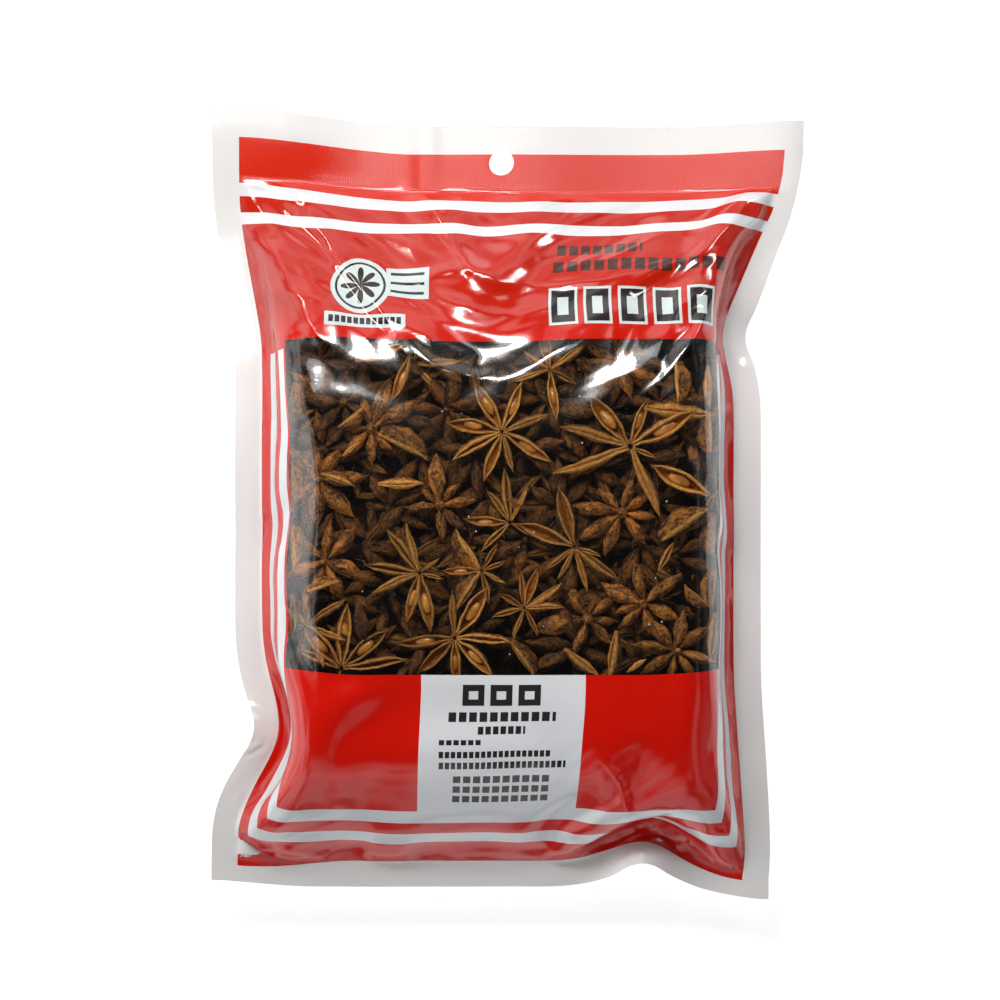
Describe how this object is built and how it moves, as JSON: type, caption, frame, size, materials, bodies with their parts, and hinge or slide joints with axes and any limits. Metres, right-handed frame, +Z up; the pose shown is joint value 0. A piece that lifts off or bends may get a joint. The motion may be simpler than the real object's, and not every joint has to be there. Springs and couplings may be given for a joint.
{
  "type": "pouch of dried star anise",
  "caption": "Sealed flat pouch of dried star anise pods, with a clear window in its printed front, welded edges and a hang hole.",
  "frame": {"origin": "on the surface that the pouch lies on, under the middle of the pouch as it was cut", "axes": "+X across the pouch, to the right of its printed front; +Y up its height, towards the hang hole; +Z up, out of its printed front"},
  "size_m": [0.1917, 0.2571, 0.0451],
  "materials": {
    "printed_film": "glossy",
    "dried_pods": "matte",
    "clear_film": "glossy"
  },
  "bodies": {
    "root": {"pouch": "printed_film", "star_anise": "dried_pods"}
  },
  "joints": []
}
